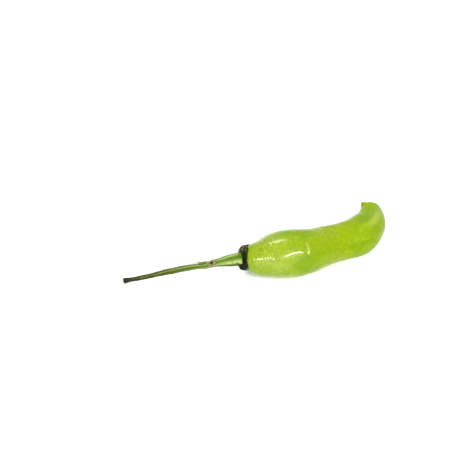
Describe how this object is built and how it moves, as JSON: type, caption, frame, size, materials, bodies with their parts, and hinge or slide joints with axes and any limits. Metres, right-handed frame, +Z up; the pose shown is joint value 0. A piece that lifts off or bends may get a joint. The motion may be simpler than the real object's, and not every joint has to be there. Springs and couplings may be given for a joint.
{
  "type": "chilli pepper",
  "caption": "Fresh green chilli pepper lying on its side: a wide-bellied pod that tapers into a hooked, blunt tip, with a dark calyx and a long thin cut stem.",
  "frame": {"origin": "centre of the bounding box in plan, on the surface that the pepper lies on", "axes": "+X from the cut end of the stem towards the pod, +Y the side that the tip hooks to, +Z up"},
  "size_m": [0.1172, 0.044, 0.0212],
  "materials": {
    "fruit_skin": "glossy waxy skin, light yellow-green",
    "calyx_skin": "satin, dark green drying to brown at the rim",
    "stem_skin": "satin, ribbed green, grey-green and brown towards the cut end"
  },
  "bodies": {
    "root": {"fruit": "fruit_skin", "calyx": "calyx_skin", "stem": "stem_skin"}
  },
  "joints": []
}
